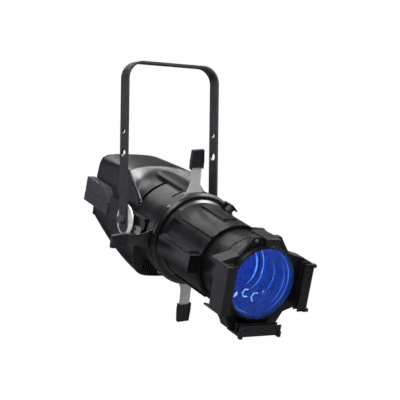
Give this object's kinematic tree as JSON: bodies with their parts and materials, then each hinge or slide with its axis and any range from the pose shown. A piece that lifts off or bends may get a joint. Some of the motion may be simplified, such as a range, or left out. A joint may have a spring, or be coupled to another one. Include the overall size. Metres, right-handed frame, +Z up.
{
  "type": "ellipsoidal spotlight",
  "caption": "Ellipsoidal stage spotlight with a solid-state light engine, a rotating shutter barrel, framing shutters, a sliding lens tube and a flat-bar hanging yoke.",
  "frame": {"origin": "centre of the clamp hole in the middle of the yoke's top bar", "axes": "+Z up along the clamp bolt, -Y the way the beam leaves, +X to the right seen from the front; the tilt pivot runs along X"},
  "size_m": [0.3527, 0.5532, 0.5257],
  "materials": {
    "yoke_steel": "satin black paint",
    "casting_black": "die-cast, textured satin black paint",
    "zinc_steel": "zinc-plated",
    "blade_steel": "stainless sheet",
    "grip_plastic": "moulded black",
    "knob_plastic": "moulded black",
    "friction_white": "white friction disc",
    "aluminium_bare": "extruded",
    "board_green": "solder-masked board",
    "board_white": "white metal-core board",
    "emitter": "lit emitters",
    "optic": "reflective mixing tube",
    "lens_glass": "clear glass lit blue",
    "bush_polymer": "low-friction polymer",
    "spring_steel": "bright spring steel",
    "clip_steel": "black painted sheet",
    "display_glass": "dark window",
    "inlet_blue": "blue moulded connector",
    "outlet_grey": "grey moulded connector",
    "data_black": "black connector"
  },
  "bodies": {
    "yoke": {"yoke": "yoke_steel"},
    "tilt_knob": {"tilt_knob": "knob_plastic"},
    "fan": {"fan_rotor": "knob_plastic"},
    "rotation_knob": {"rotation_lock_knob": "knob_plastic"},
    "barrel": {"lock_bracket": "casting_black", "shutter_barrel": "casting_black", "gate_plate": "aluminium_bare", "barrel_tube": "casting_black", "barrel_bush": "bush_polymer", "barrel_screws": "zinc_steel"},
    "lens": {"lens_tube": "casting_black", "frame_holder": "casting_black", "holder_screws": "zinc_steel", "front_lens": "lens_glass", "front_lens_ring": "casting_black", "rear_lens": "lens_glass", "rear_lens_ring": "casting_black", "clip_pin": "spring_steel", "clip_spring": "spring_steel"},
    "focus_knob": {"focus_knob": "knob_plastic"},
    "clip": {"frame_clip": "clip_steel"},
    "button_1": {"button_1": "knob_plastic"},
    "button_2": {"button_2": "knob_plastic"},
    "button_3": {"button_3": "knob_plastic"},
    "button_4": {"button_4": "knob_plastic"},
    "shutter_top": {"blade_top": "blade_steel", "grip_top": "grip_plastic"},
    "shutter_left": {"blade_left": "blade_steel", "grip_left": "grip_plastic"},
    "shutter_bottom": {"blade_bottom": "blade_steel", "grip_bottom": "grip_plastic"},
    "shutter_right": {"blade_right": "blade_steel", "grip_right": "grip_plastic"},
    "head": {"pivot_bolt": "zinc_steel", "friction_discs": "friction_white", "pivot_arm_left": "casting_black", "pivot_arm_right": "casting_black", "upper_shell": "casting_black", "lower_shell": "casting_black", "front_cowl": "casting_black", "rear_panel": "casting_black", "side_pod_left": "casting_black", "side_pod_right": "casting_black", "chassis_plate": "aluminium_bare", "heat_sink": "aluminium_bare", "fan_frame": "knob_plastic", "led_board": "board_white", "led_emitters": "emitter", "mixing_tube": "optic", "optic_holder": "aluminium_bare", "power_supply": "board_green", "control_board": "board_green", "display_window": "display_glass", "power_inlet": "inlet_blue", "power_outlet": "outlet_grey", "data_inlet": "data_black", "data_outlet": "data_black", "safety_eye": "zinc_steel", "rear_screws": "zinc_steel"}
  },
  "joints": [
    {"name": "tilt", "type": "hinge", "parent": "yoke", "child": "head", "pos_m": [0, 0, -0.31], "axis": [1, 0, 0], "range_deg": [-60, 71]},
    {"name": "tilt_lock", "type": "hinge", "parent": "head", "child": "tilt_knob", "pos_m": [0, 0, -0.31], "axis": [1, 0, 0], "range_deg": [-180, 0]},
    {"name": "fan_spin", "type": "hinge", "parent": "head", "child": "fan", "pos_m": [0, 0.13396, -0.26914], "axis": [0, -0.9478, -0.319], "continuous": true},
    {"name": "rotation_lock", "type": "hinge", "parent": "barrel", "child": "rotation_knob", "pos_m": [0.05831, -0.12827, -0.28785], "axis": [0.6626, -0.2389, 0.7098], "range_deg": [-180, 0]},
    {"name": "barrel_rotation", "type": "hinge", "parent": "head", "child": "barrel", "pos_m": [0, -0.07928, -0.3409], "axis": [0, -0.9478, -0.319], "range_deg": [-25, 25]},
    {"name": "focus", "type": "slide", "parent": "barrel", "child": "lens", "axis": [0, -0.9478, -0.319], "range_m": [-0.036, 0.024]},
    {"name": "focus_lock", "type": "hinge", "parent": "lens", "child": "focus_knob", "pos_m": [0.07997, -0.17947, -0.37241], "axis": [0.9997, -0.0083, 0.0248], "range_deg": [0, 180]},
    {"name": "clip_hinge", "type": "hinge", "parent": "lens", "child": "clip", "pos_m": [-0.00212, -0.3231, -0.33752], "axis": [-0.9997, 0.0083, -0.0248], "range_deg": [0, 30], "stiffness_Nm_per_rad": 0.05, "springref_deg": -20.05},
    {"name": "button_1_press", "type": "slide", "parent": "head", "child": "button_1", "axis": [0, -0.9765, -0.2156], "range_m": [0, 0.001], "stiffness_N_per_m": 400, "springref_m": -0.0006},
    {"name": "button_2_press", "type": "slide", "parent": "head", "child": "button_2", "axis": [0, -0.9765, -0.2156], "range_m": [0, 0.001], "stiffness_N_per_m": 400, "springref_m": -0.0006},
    {"name": "button_3_press", "type": "slide", "parent": "head", "child": "button_3", "axis": [0, -0.9765, -0.2156], "range_m": [0, 0.001], "stiffness_N_per_m": 400, "springref_m": -0.0006},
    {"name": "button_4_press", "type": "slide", "parent": "head", "child": "button_4", "axis": [0, -0.9765, -0.2156], "range_m": [0, 0.001], "stiffness_N_per_m": 400, "springref_m": -0.0006},
    {"name": "shutter_top_slide", "type": "slide", "parent": "barrel", "child": "shutter_top", "axis": [-0.1132, -0.3169, 0.9417], "range_m": [-0.036, 0.004]},
    {"name": "shutter_left_slide", "type": "slide", "parent": "barrel", "child": "shutter_left", "axis": [-0.9981, 0.0195, -0.0579], "range_m": [-0.036, 0.004]},
    {"name": "shutter_bottom_slide", "type": "slide", "parent": "barrel", "child": "shutter_bottom", "axis": [0.0958, 0.3175, -0.9434], "range_m": [-0.036, 0.004]},
    {"name": "shutter_right_slide", "type": "slide", "parent": "barrel", "child": "shutter_right", "axis": [0.9997, -0.0083, 0.0248], "range_m": [-0.036, 0.004]}
  ]
}
